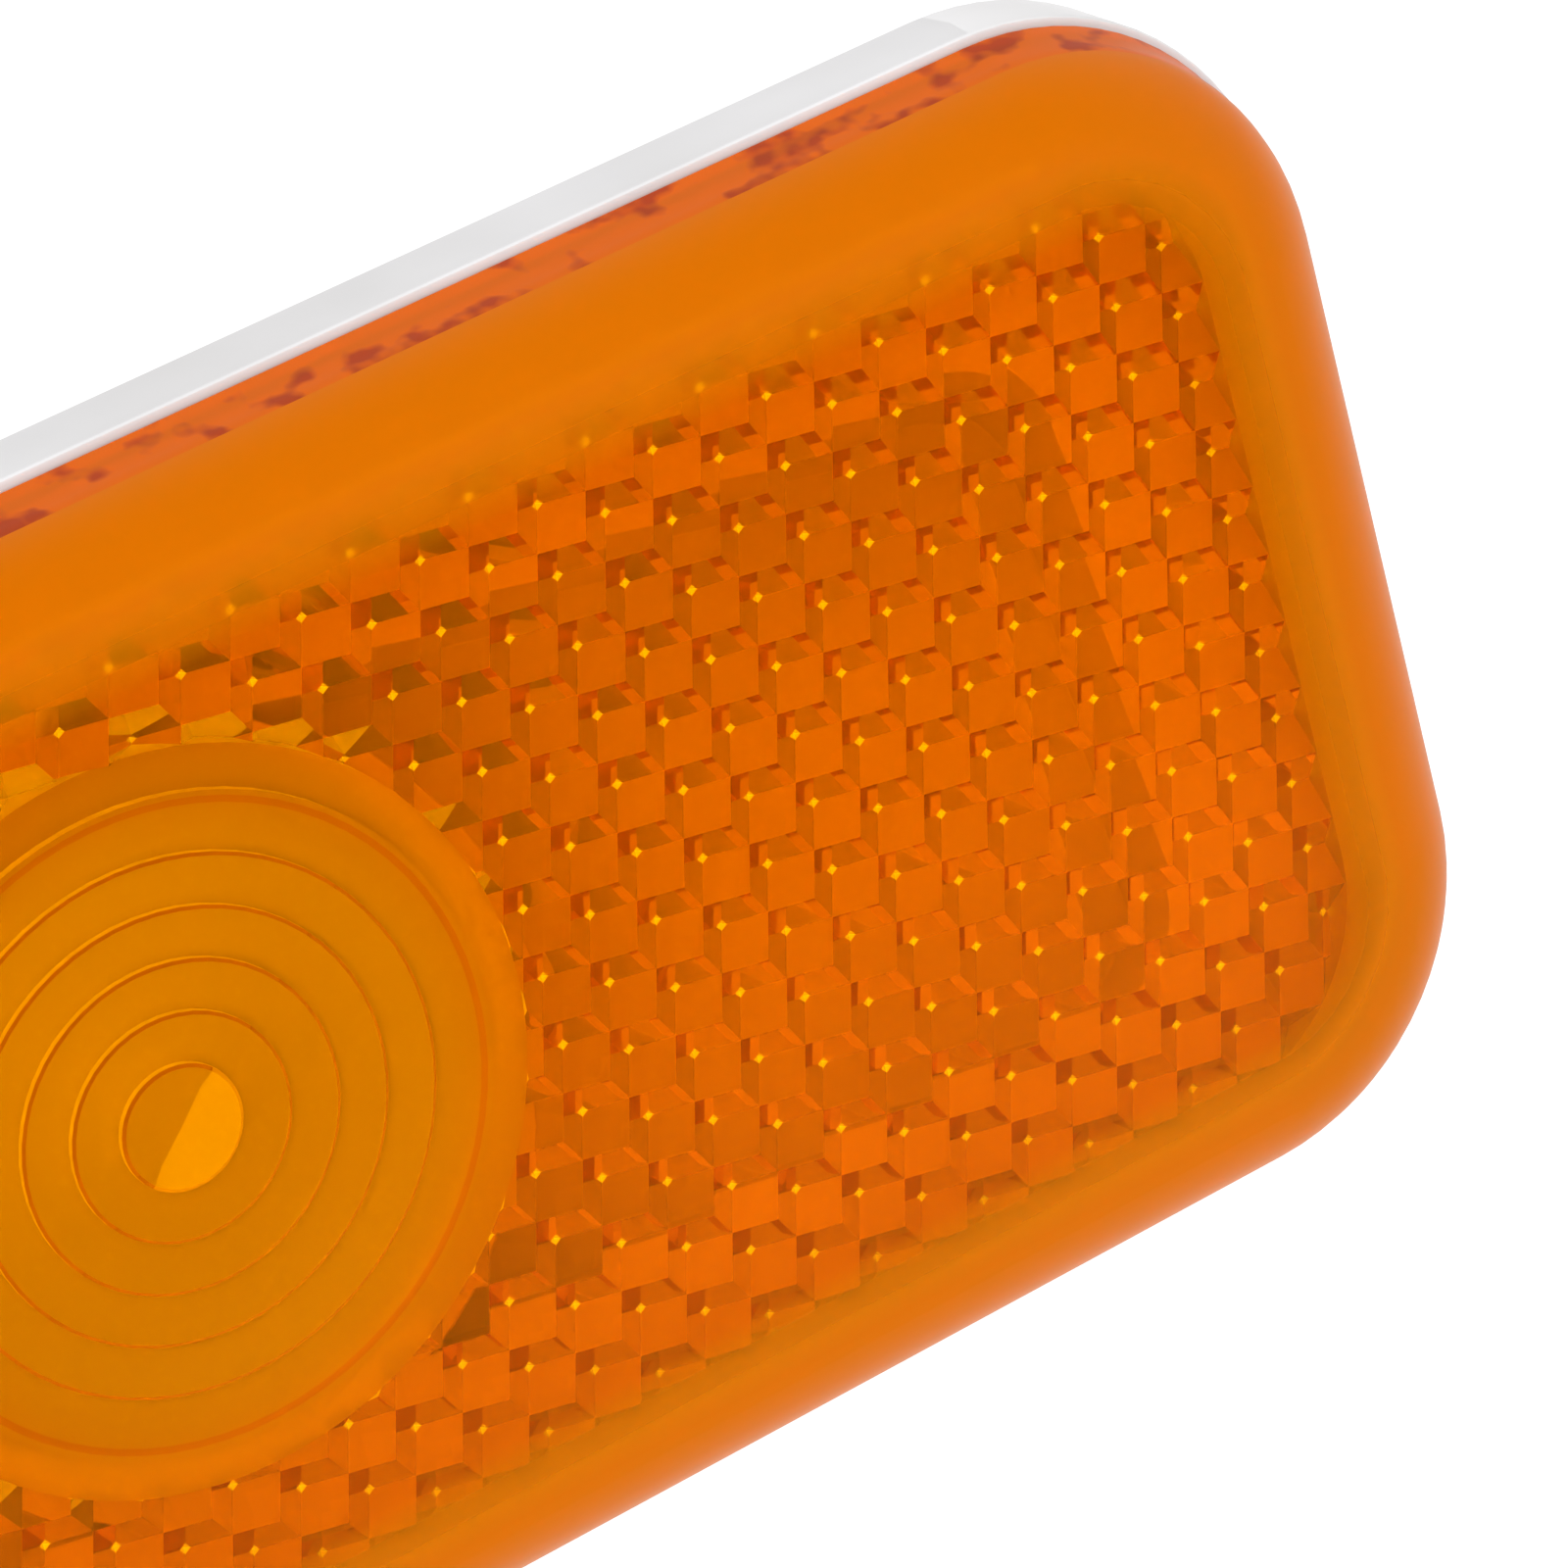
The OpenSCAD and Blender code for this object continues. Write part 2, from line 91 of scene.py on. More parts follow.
# The lens's outline at its foot, and how far in from it, or from the bull's-eye's axis, its parts lie.
CORNER = 9.9 * MM
LENS_WALL = 1.6 * MM
FOOT_WALL = 1.5 * MM
FIELD_EDGE = 3.2 * MM
FIELD_TOP = 3.7 * MM
DISC = 2.1 * MM
RINGS_END = 10.7 * MM
EYE = 12.2 * MM
INSIDE_FLOOR = -5.6 * MM

# The haze on the lens's rim fades over a strip of the front face, which ends past HAZE_END.
HAZE_FADE = 2.6 * MM
HAZE_END = 3.4 * MM

# The bull's-eye's satin back is painted a lighter gold out to the first radius, standing in for the light
# that passes the lens there once, and amber from the second.
PAINTED_GOLD_TO = 8.5 * MM
AMBER_FROM = 12.5 * MM

# What the lens's material reads from its faces, and the slants (the normal's Y) that tell them apart.
MARKS = ("satin", "painted_glint", "groove", "rim", "side")
PRISM_SLANT = (0.5, 0.62)
STEP_SLANT = 0.2
SIDE_SLANT = 0.3
TIP_SLANT = 0.9


# Colours and node trees

def linear(code, alpha=1.0):
    """An sRGB hex colour as linear red, green, blue and alpha."""
    parts = [int(code[k:k + 2], 16) / 255 for k in (1, 3, 5)]
    return (*[c / 12.92 if c <= 0.04045 else ((c + 0.055) / 1.055) ** 2.4 for c in parts], alpha)


def add(tree, kind, inputs=None, **settings):
    """Adds a node. An input is a value, or the output socket that it is linked to."""
    node = tree.nodes.new(kind)
    for name, value in settings.items():
        setattr(node, name, value)
    for key, value in (inputs or {}).items():
        if isinstance(value, bpy.types.NodeSocket):
            tree.links.new(value, node.inputs[key])
        else:
            node.inputs[key].default_value = value
    return node


def per_metre(size_mm):
    """The pattern scale at which one feature measures size_mm."""
    return 1 / (size_mm * MM)


def new_material(name):
    made = bpy.data.materials.new(name)
    made.use_nodes = True
    made.node_tree.nodes.clear()
    return made, made.node_tree


def grain(tree, size_mm, detail=2.0, stretch=(1, 1, 1)):
    """Noise of one size on the object's own coordinates, drawn out along an axis by stretch."""
    place = add(tree, "ShaderNodeTexCoord").outputs["Object"]
    mapped = add(tree, "ShaderNodeMapping", {"Vector": place, "Scale": stretch})
    return add(tree, "ShaderNodeTexNoise", {"Vector": mapped.outputs["Vector"],
               "Scale": per_metre(size_mm), "Detail": detail}).outputs["Fac"]


def spread(tree, fac, low, high):
    """Maps noise, which stays near the middle, to a range of values."""
    return add(tree, "ShaderNodeMapRange", {"Value": fac, "From Min": 0.3, "From Max": 0.7,
               "To Min": low, "To Max": high}).outputs["Result"]


def relief(tree, height, depth_mm, strength=1.0):
    return add(tree, "ShaderNodeBump", {"Height": height, "Distance": depth_mm * MM,
               "Strength": strength}).outputs["Normal"]


def two_tone(tree, fac, first, second):
    """Mixes two colours, each of them a value or an output socket."""
    mixed = add(tree, "ShaderNodeMix", data_type="RGBA")
    tree.links.new(fac, mixed.inputs["Factor"])
    for name, colour in (("A", first), ("B", second)):
        if isinstance(colour, bpy.types.NodeSocket):
            tree.links.new(colour, mixed.inputs[name])
        else:
            mixed.inputs[name].default_value = colour
    return mixed.outputs["Result"]


def surface(tree, inputs):
    shader = add(tree, "ShaderNodeBsdfPrincipled", inputs)
    return add(tree, "ShaderNodeOutputMaterial", {"Surface": shader.outputs["BSDF"]})


# Materials

def amber_acrylic():
    """Acrylic dyed amber. It is clear and polished on its front and its prisms, and hazy round the rim.
    Inside, the plain border and the bull's-eye are satin, which scatters the light and hides what
    stands behind."""
    made, tree = new_material("Amber acrylic, moulded")
    look = bpy.context.scene.repeater_finish
    satin, painted_glint, groove, rim, side = [
        add(tree, "ShaderNodeAttribute", attribute_name=name).outputs["Fac"] for name in MARKS]
    place = add(tree, "ShaderNodeTexCoord").outputs["Object"]
    flat = add(tree, "ShaderNodeVectorMath", {0: place, 1: (1, 0, 1)}, operation="MULTIPLY")
    radius = add(tree, "ShaderNodeVectorMath", {0: flat.outputs["Vector"]}, operation="LENGTH")
    # A painted lighter gold on the bull's-eye's satin back, for the light it lets through once, fading out
    # between the two radii.
    middle = add(tree, "ShaderNodeMapRange", {"Value": radius.outputs["Value"], "From Min": PAINTED_GOLD_TO,
                 "From Max": AMBER_FROM, "To Min": 1.0, "To Max": 0.0}).outputs["Result"]
    painted_gold_zone = add(tree, "ShaderNodeMath", {0: satin, 1: middle}, operation="MULTIPLY").outputs["Value"]
    clear = add(tree, "ShaderNodeMapRange", {"Value": satin, "To Min": look.clarity,
                "To Max": look.satin_clarity}).outputs["Result"]
    clear = add(tree, "ShaderNodeMix", {"Factor": rim, "A": clear,
                "B": look.rim_clarity}).outputs["Result"]
    # The painted glint faces let hardly any light pass, so that their painted highlight colour shows.
    solid = add(tree, "ShaderNodeMath", {0: painted_glint, 1: -0.85, 2: 1.0}, operation="MULTIPLY_ADD")
    passing = add(tree, "ShaderNodeMath", {0: clear, 1: solid.outputs["Value"]}, operation="MULTIPLY")
    hazy = add(tree, "ShaderNodeMath", {0: satin, 1: rim}, operation="MAXIMUM").outputs["Value"]
    rough = add(tree, "ShaderNodeMapRange", {"Value": hazy, "To Min": 0.02, "To Max": 0.4})
    # Moulded acrylic is flat to a few microns over about a centimetre, so its gloss wavers a little.
    flow = relief(tree, grain(tree, 9.0, detail=1.0), 0.012)
    dyed = two_tone(tree, satin, (*look.amber, 1), (*look.border, 1))
    # Painted shade lines on the breaks of the ring grooves.
    inner = two_tone(tree, groove, two_tone(tree, painted_gold_zone, dyed, (*look.painted_gold, 1)), (*look.line, 1))
    # A painted highlight on the faces marked painted_glint.
    inner = two_tone(tree, painted_glint, inner, (*look.painted_glint, 1))
    # The side wall carries painted dark blots, about 1.5 mm across, which stand in for the prisms seen
    # through it.
    painted_blot = add(tree, "ShaderNodeMapRange", {"Value": grain(tree, 1.5), "From Min": 0.52,
               "From Max": 0.66}).outputs["Result"]
    mottle = two_tone(tree, painted_blot, (*look.side, 1), (*look.painted_blot, 1))
    shade = two_tone(tree, side, two_tone(tree, rim, inner, (*look.rim, 1)), mottle)
    surface(tree, {"Base Color": shade, "Roughness": rough.outputs["Result"],
                   "IOR": 1.49, "Specular IOR Level": 0.25, "Specular Tint": (*look.amber, 1),
                   "Transmission Weight": passing.outputs["Value"], "Normal": flow})
    return made


def white_abs():
    """White ABS from a polished mould: satin, with faint flow marks."""
    made, tree = new_material("White ABS, satin moulding")
    look = bpy.context.scene.repeater_finish
    flow = grain(tree, 14.0)
    shade = two_tone(tree, spread(tree, flow, 0, 1), (*look.white, 1), linear("#E3E1E0"))
    surface(tree, {"Base Color": shade, "Roughness": spread(tree, grain(tree, 3.0), 0.32, 0.44),
                   "IOR": 1.54, "Normal": relief(tree, grain(tree, 0.25), 0.004)})
    return made


def foam_rubber():
    """EPDM foam with a cut skin: matt black, with closed cells about 0.3 mm across."""
    made, tree = new_material("EPDM foam rubber")
    place = add(tree, "ShaderNodeTexCoord").outputs["Object"]
    cells = add(tree, "ShaderNodeTexVoronoi", {"Vector": place, "Scale": per_metre(0.35)})
    cell = cells.outputs["Distance"]
    surface(tree, {"Base Color": two_tone(tree, cell, linear("#1B1B1C"), linear("#2E2E30")),
                   "Roughness": 0.9, "IOR": 1.5, "Normal": relief(tree, cell, 0.12)})
    return made


def silicone_rubber():
    """Moulded silicone: rust red, smooth and slightly waxy, with dust-fine grain."""
    made, tree = new_material("Silicone rubber, red oxide")
    shade = two_tone(tree, spread(tree, grain(tree, 2.0), 0, 1), linear("#7A3A26"), linear("#8C4A33"))
    surface(tree, {"Base Color": shade, "Roughness": spread(tree, grain(tree, 0.8), 0.45, 0.6),
                   "IOR": 1.41, "Normal": relief(tree, grain(tree, 0.12), 0.006)})
    return made


def zinc_steel():
    """Zinc-plated spring strip: rolling lines along the strip under a cloudy pale plating."""
    made, tree = new_material("Spring steel, zinc plated")
    rolled = grain(tree, 0.2, detail=3.0, stretch=(0.06, 0.06, 1))
    cloud = spread(tree, grain(tree, 2.5), 0, 1)
    surface(tree, {"Base Color": two_tone(tree, cloud, linear("#B9BBB8"), linear("#CFCDBF")),
                   "Metallic": 1.0, "Roughness": spread(tree, rolled, 0.24, 0.42),
                   "Normal": relief(tree, rolled, 0.006)})
    return made


def natural_nylon():
    """Natural nylon from a spark-eroded mould: ivory, matt, with a fine even grain."""
    made, tree = new_material("Nylon, natural")
    mottle = spread(tree, grain(tree, 1.5), 0, 1)
    surface(tree, {"Base Color": two_tone(tree, mottle, linear("#E9E5D8"), linear("#DDD8C8")),
                   "Roughness": spread(tree, grain(tree, 0.6), 0.5, 0.66), "IOR": 1.53,
                   "Normal": relief(tree, grain(tree, 0.12), 0.012)})
    return made


def tinned_brass():
    """Stamped brass with bright tin, which dulls in patches."""
    made, tree = new_material("Brass strip, tinned")
    patch = spread(tree, grain(tree, 1.2), 0, 1)
    surface(tree, {"Base Color": two_tone(tree, patch, linear("#CFCBC2"), linear("#B7AF9E")),
                   "Metallic": 1.0, "Roughness": spread(tree, grain(tree, 0.5), 0.22, 0.38),
                   "Normal": relief(tree, grain(tree, 0.1, stretch=(1, 0.1, 1)), 0.003)})
    return made


def clear_glass():
    """Soda-lime glass blown thin: clear, with soft waves."""
    made, tree = new_material("Soda-lime glass, blown")
    surface(tree, {"Base Color": linear("#F4F8F6"), "Roughness": 0.0, "IOR": 1.52,
                   "Transmission Weight": 1.0, "Normal": relief(tree, grain(tree, 4.0), 0.02)})
    return made


def tungsten():
    """Drawn tungsten: dark grey metal, matt from its first burning."""
    made, tree = new_material("Tungsten wire")
    surface(tree, {"Base Color": linear("#6E6B68"), "Metallic": 1.0,
                   "Roughness": spread(tree, grain(tree, 0.1), 0.4, 0.55)})
    return made


def lead_wire():
    """Copper-clad wire: coppery with a brown borate skin, as it comes through the glass."""
    made, tree = new_material("Copper-clad lead wire")
    shade = two_tone(tree, spread(tree, grain(tree, 0.8), 0, 1), linear("#B98C6E"), linear("#9A7A66"))
    surface(tree, {"Base Color": shade, "Metallic": 1.0, "Roughness": 0.35})
    return made


# Meshes

def merged(node):
    """A CAD node's triangles as a closed mesh, with the flat ones joined into whole faces."""
    work = bmesh.new()
    work.from_mesh(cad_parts[node].data)
    bmesh.ops.remove_doubles(work, verts=work.verts, dist=SMALL)
    bmesh.ops.dissolve_degenerate(work, edges=work.edges, dist=SMALL)
    bmesh.ops.dissolve_limit(work, angle_limit=radians(0.5), verts=work.verts, edges=work.edges)
    mesh = bpy.data.meshes.new(node)
    work.to_mesh(mesh)
    work.free()
    return mesh


def baked(piece):
    """The piece as a plain mesh, with its modifiers made real."""
    graph = bpy.context.evaluated_depsgraph_get()
    mesh = bpy.data.meshes.new_from_object(piece.evaluated_get(graph))
    piece.modifiers.clear()
    piece.data = mesh
    return piece


def smooth(piece, crease=30.0):
    """Smooth shading that keeps flat faces flat, with sharp edges where faces meet at more than crease."""
    work = bmesh.new()
    work.from_mesh(piece.data)
    for face in work.faces:
        face.smooth = True
    for edge in work.edges:
        edge.smooth = edge.is_manifold and edge.calc_face_angle() < radians(crease)
    work.to_mesh(piece.data)
    work.free()
    weigh = piece.modifiers.new("Even gloss", "WEIGHTED_NORMAL")
    weigh.keep_sharp = True
    return baked(piece)


def fillet(piece, size, crease=30.0):
    """Rounds every edge that is sharper than crease, as a mould or a press leaves it."""
    bevel = piece.modifiers.new("Fillet", "BEVEL")
    bevel.width = size
    bevel.segments = 2
    bevel.limit_method = "ANGLE"
    bevel.angle_limit = radians(crease)
    bevel.use_clamp_overlap = False
    return baked(piece)


def finished(node, name, material, edge=0.0, shape=None):
    """A CAD node as a finished piece of that name, which stands in its place. A shape function can
    cut its mesh before its edges are rounded."""
    piece = bpy.data.objects.new(name, merged(node))
    bpy.context.scene.collection.objects.link(piece)
    if shape:
        shape(piece.data)
    if edge > 0:
        fillet(piece, edge)
    smooth(piece)
    piece.data.materials.clear()
    piece.data.materials.append(material)
    return seated(piece, node)


def from_axis(place):
    """How far a place is from the bull's-eye's axis."""
    return Vector((place.x, place.z)).length


def from_outline(place):
    """How far inside the lens's outline a place is, seen from the front."""
    high = LENS_BOX[1]
    corner = Vector((abs(place.x) - high.x + CORNER, abs(place.z) - high.z + CORNER))
    if min(corner) > 0:
        return CORNER - corner.length
    return min(high.x - abs(place.x), high.z - abs(place.z))


def level_edges(work, measure, least, most):
    """The edges on the floor of the lens's inside whose ends have one measure, between two values."""
    found = []
    for edge in work.edges:
        ends = [point.co for point in edge.verts]
        on_floor = max(abs(end.y - INSIDE_FLOOR) for end in ends) < CLOSE
        first, second = map(measure, ends)
        if on_floor and abs(first - second) < CLOSE and least < first < most:
            found.append(edge)
    return found


def shape_lens(mesh, tip, groove):
    """Cuts off the strip of the front face in which the haze fades, and cuts the prisms' sharp tips to
    small flats. Breaks the grooves between the bull's-eye's rings and along the top of the prism
    field, as the tool leaves them, and marks the rings' breaks for painted shade lines and the
    field's top breaks for a painted highlight."""
    work = bmesh.new()
    work.from_mesh(mesh)
    high = LENS_BOX[1]
    front = max(work.faces, key=lambda face: face.calc_area())
    bmesh.ops.inset_region(work, faces=[front], thickness=HAZE_FADE, use_even_offset=True)
    tips = [point for point in work.verts if point.co.y > high.y - CLOSE]
    bmesh.ops.bevel(work, geom=tips, offset=tip, segments=1, affect="VERTICES")
    field_top = high.z - FIELD_TOP
    rings = level_edges(work, from_axis, 0, RINGS_END)
    top = level_edges(work, lambda place: place.z, field_top - CLOSE, field_top + CLOSE)
    for name, edges in (("groove", rings), ("painted_glint", top)):
        mark = work.faces.layers.float.new(name)
        cut = bmesh.ops.bevel(work, geom=edges, offset=groove, segments=1, affect="EDGES")
        for face in cut["faces"]:
            face[mark] = 1.0
    work.to_mesh(mesh)
    work.free()


def mark_lens(mesh, tip_flat):
    """Marks the lens's faces: satin inside it other than on the prisms, a painted highlight on the prisms'
    tip flats, the rings' steps and half of the disc, and its sides. Marks the points of its rim as hazy."""
    low, high = LENS_BOX
    for name, domain in (("satin", "FACE"), ("side", "FACE"), ("rim", "POINT")):
        mesh.attributes.new(name, "FLOAT", domain)
    satin, painted_glint, side, rim = [mesh.attributes[name].data
                               for name in ("satin", "painted_glint", "side", "rim")]
    for face in mesh.polygons:
        centre, normal = face.center, face.normal
        margin, distance = from_outline(centre), from_axis(centre)
        inside = margin > LENS_WALL and centre.y > low.y + LENS_WALL
        in_field = distance > EYE and margin > FIELD_EDGE
        prism = in_field and PRISM_SLANT[0] < normal.y < PRISM_SLANT[1]
        step = distance < EYE + MM and abs(normal.y) < STEP_SLANT
        tip = in_field and normal.y > TIP_SLANT and centre.y > high.y - tip_flat
        # Painted highlight: full on the rings' steps and the prisms' tip flats, and 0.45 on the half of
        # the bull's-eye's disc that faces away from the window, for the light it passes on.
        half = inside and distance < DISC and centre.x > centre.z
        painted_glint[face.index].value = max(painted_glint[face.index].value, 0.45 * half,
                                      float(inside and (step or tip)))
        side[face.index].value = float(margin < LENS_WALL and abs(normal.y) < SIDE_SLANT)
        satin[face.index].value = float(inside and not prism)
    for point in mesh.vertices:
        margin = from_outline(point.co)
        outside = point.co.y < low.y + LENS_WALL or margin < FOOT_WALL
        rim[point.index].value = float(outside and margin < HAZE_END)


def seated(piece, node):
    """Puts a piece in a CAD node's place, under the root body, and hides the node."""
    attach(piece, "root")
    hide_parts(node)
    return piece


# The filament's coil, as geometry nodes

def coil_tree():
    """A helix of wire along X round the origin."""
    tree = bpy.data.node_groups.new("Coiled filament", "GeometryNodeTree")
    face = tree.interface
    face.new_socket("Geometry", in_out="OUTPUT", socket_type="NodeSocketGeometry")
    for name, kind in (("Length", "Float"), ("Coil radius", "Float"), ("Wire radius", "Float"),
                       ("Turns", "Float"), ("Wire", "Material")):
        face.new_socket(name, in_out="INPUT", socket_type="NodeSocket" + kind)
    given = add(tree, "NodeGroupInput").outputs
    helix = add(tree, "GeometryNodeCurveSpiral", {"Resolution": 14, "Rotations": given["Turns"],
                "Start Radius": given["Coil radius"], "End Radius": given["Coil radius"],
                "Height": given["Length"]})
    profile = add(tree, "GeometryNodeCurvePrimitiveCircle", {"Resolution": 8,
                  "Radius": given["Wire radius"]}, mode="RADIUS")
    wire = add(tree, "GeometryNodeCurveToMesh", {"Curve": helix.outputs["Curve"],
               "Profile Curve": profile.outputs["Curve"], "Fill Caps": True})
    half = add(tree, "ShaderNodeMath", {0: given["Length"], 1: -0.5}, operation="MULTIPLY")
    start = add(tree, "ShaderNodeCombineXYZ", {"X": half.outputs["Value"]})
    laid = add(tree, "GeometryNodeTransform", {"Geometry": wire.outputs["Mesh"],
               "Translation": start.outputs["Vector"], "Rotation": (0, radians(90), 0)})
    real = add(tree, "GeometryNodeRealizeInstances", {"Geometry": laid.outputs["Geometry"]})
    painted = add(tree, "GeometryNodeSetMaterial", {"Geometry": real.outputs["Geometry"],
                  "Material": given["Wire"]})
    add(tree, "NodeGroupOutput", {"Geometry": painted.outputs["Geometry"]})
    return tree


def grown(name, tree, values):
    """A plain mesh piece made by a geometry node tree from named values."""
    piece = bpy.data.objects.new(name, bpy.data.meshes.new(name))
    bpy.context.scene.collection.objects.link(piece)
    grower = piece.modifiers.new(tree.name, "NODES")
    grower.node_group = tree
    ids = {item.name: item.identifier for item in tree.interface.items_tree
           if item.in_out == "INPUT"}
    for label, value in values.items():
        grower[ids[label]] = value
    return baked(piece)


def place_mesh(piece, place):
    """Moves a mesh's points to a place, so that its object stays at the origin."""
    piece.data.transform(Matrix.Translation(place))
    return piece


# What a user sets

class RepeaterSizes(bpy.types.PropertyGroup):
    """Sizes of the finish."""
    tip_flat: FloatProperty(name="Prism tips", description="How far each prism's tip is cut back",
                            default=0.2 * MM, min=0.01 * MM, unit="LENGTH")
    groove: FloatProperty(name="Ring grooves", description="Break of the grooves between the rings",
                          default=0.12 * MM, min=0.01 * MM, unit="LENGTH")
    housing_edge: FloatProperty(name="Housing edges", description="Fillet on the housing's edges",
                                default=0.2 * MM, min=0, unit="LENGTH")
    rubber_edge: FloatProperty(name="Rubber edges", description="Fillet on the rubber pieces",
                               default=0.25 * MM, min=0, unit="LENGTH")
    metal_edge: FloatProperty(name="Metal edges", description="Break of the stamped edges",
                              default=0.06 * MM, min=0, unit="LENGTH")
    holder_edge: FloatProperty(name="Holder edges", description="Fillet on the bulb holder",
                               default=0.15 * MM, min=0, unit="LENGTH")
    coil_turns: IntProperty(name="Coil turns", description="Turns of the filament's coil",
                            default=22, min=4, max=60, subtype="UNSIGNED")
    wire_radius: FloatProperty(name="Filament wire", description="Radius of the coil's wire",
                               default=0.045 * MM, min=0.01 * MM, unit="LENGTH")


class RepeaterFinish(bpy.types.PropertyGroup):
    """Colours of the finish and the light."""
    amber: FloatVectorProperty(name="Amber", description="Colour that the lens lets through",
                               default=(0.825, 0.333, 0.0), subtype="COLOR", min=0, max=1)
    border: FloatVectorProperty(name="Border", description="Colour of the lens's satin border",
                                default=(0.62, 0.32, 0.01), subtype="COLOR", min=0, max=1)
    # Painted lighter tone of the bull's-eye's satin back, standing in for the light it lets through once.
    painted_gold: FloatVectorProperty(name="Gold", description="Colour of the bull's-eye's satin back",
                              default=(0.69, 0.51, 0.0), subtype="COLOR", min=0, max=1)
    # Painted shade colour of the breaks of the ring grooves.
    line: FloatVectorProperty(name="Ring lines", description="Colour of the rings' grooves",
                              default=(0.62, 0.26, 0.0), subtype="COLOR", min=0, max=1)
    rim: FloatVectorProperty(name="Rim", description="Colour of the lens's rounded edge",
                             default=(0.82, 0.2, 0.0), subtype="COLOR", min=0, max=1)
    side: FloatVectorProperty(name="Side", description="Colour of the lens's side wall",
                              default=(0.85, 0.155, 0.0), subtype="COLOR", min=0, max=1)
    # Painted colour of the blots that stand in for the prisms seen through the side wall.
    painted_blot: FloatVectorProperty(name="Blots", description="Colour of the side wall's darker spots",
                              default=(0.5, 0.06, 0.01), subtype="COLOR", min=0, max=1)
    # Painted highlight colour of the prisms' tips, the rings' steps, the field's top and half the disc.
    painted_glint: FloatVectorProperty(name="Glint", description="Colour of tips and steps that catch light",
                               default=(1.0, 0.93, 0.1), subtype="COLOR", min=0, max=1)
    clarity: FloatProperty(name="Clarity", description="Share of light that passes polished faces",
                           default=0.93, min=0, max=1, subtype="FACTOR")
    satin_clarity: FloatProperty(name="Satin clarity", min=0, max=1, subtype="FACTOR",
                                 description="Share of light that passes satin faces", default=0.45)
    rim_clarity: FloatProperty(name="Rim clarity", min=0, max=1, subtype="FACTOR",
                               description="Share of light that passes the rim", default=0.25)
    white: FloatVectorProperty(name="White", description="Colour of the housing",
                               default=linear("#F4F3F4")[:3], subtype="COLOR", min=0, max=1)
    sky: FloatProperty(name="Sky", description="Strength of the even light from all sides",
                       default=1.13, min=0, soft_max=10, subtype="FACTOR")
    sky_through: FloatProperty(name="Sky through the lens", default=2.35, min=0, soft_max=10,
                               description="Strength of the light that comes in through the lens",
                               subtype="FACTOR")
    window: FloatProperty(name="Window through the lens", default=7.5, min=0, soft_max=10,
                          description="Strength of the upper left's light through the lens",
                          subtype="FACTOR")
    dim_front: FloatVectorProperty(name="Dim front", default=(0.1, 0.02, 0.0), subtype="COLOR",
                                   description="What mirrors see in front", min=0, max=1)
    pale_back: FloatProperty(name="Pale back", default=0.45, min=0, max=1, subtype="FACTOR",
                             description="Strength of what mirrors see behind the lamp")


# Operators

class REPEATER_OT_lens(bpy.types.Operator):
    """Finishes the amber lens with its prisms and bull's-eye"""
    bl_idname = "repeater.lens"
    bl_label = "Lens"

    def execute(self, context):
        sizes = context.scene.repeater_sizes
        lens = finished("lens", "lens_moulding", amber_acrylic(),
                        shape=lambda mesh: shape_lens(mesh, sizes.tip_flat, sizes.groove))
        mark_lens(lens.data, sizes.tip_flat)
        return {"FINISHED"}


class REPEATER_OT_housing(bpy.types.Operator):
    """Finishes the white housing"""
    bl_idname = "repeater.housing"
    bl_label = "Housing"

    def execute(self, context):
        sizes = context.scene.repeater_sizes
        finished("housing", "housing_moulding", white_abs(), sizes.housing_edge)
        return {"FINISHED"}


class REPEATER_OT_seals(bpy.types.Operator):
    """Finishes the panel gasket and the bulb holder's seal"""
    bl_idname = "repeater.seals"
    bl_label = "Gasket and seal"

    def execute(self, context):
        sizes = context.scene.repeater_sizes
        finished("panel_gasket", "gasket_ring", foam_rubber(), sizes.rubber_edge)
        finished("holder_seal", "seal_ring", silicone_rubber())
        return {"FINISHED"}


class REPEATER_OT_clip(bpy.types.Operator):
    """Finishes the spring clip"""
    bl_idname = "repeater.clip"
    bl_label = "Spring clip"

    def execute(self, context):
        finished("spring_clip", "clip_strip", zinc_steel(), context.scene.repeater_sizes.metal_edge)
        return {"FINISHED"}


class REPEATER_OT_holder(bpy.types.Operator):
    """Finishes the bulb holder and its two terminals"""
    bl_idname = "repeater.holder"
    bl_label = "Bulb holder"

    def execute(self, context):
        sizes = context.scene.repeater_sizes
        finished("bulb_holder", "holder_moulding", natural_nylon(), sizes.holder_edge)
        tin = tinned_brass()
        for side in ("feed", "earth"):
            finished("terminal_" + side, "terminal_strip_" + side, tin, sizes.metal_edge)
        return {"FINISHED"}


class REPEATER_OT_bulb(bpy.types.Operator):
    """Finishes the bulb: its glass, its lead wires and the coil between them"""
    bl_idname = "repeater.bulb"
    bl_label = "Bulb"

    def execute(self, context):
        sizes = context.scene.repeater_sizes
        finished("bulb_glass", "glass_envelope", clear_glass())
        finished("bulb_lead_wires", "lead_wire_pair", lead_wire())
        low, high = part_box("bulb_filament")
        coil = grown("filament_coil", coil_tree(), {
            "Length": high.x - low.x, "Wire radius": sizes.wire_radius,
            "Coil radius": (high.z - low.z) / 2 - sizes.wire_radius,
            "Turns": float(sizes.coil_turns), "Wire": tungsten()})
        place_mesh(coil, (low + high) / 2)
        coil.data.shade_smooth()
        seated(coil, "bulb_filament")
        return {"FINISHED"}


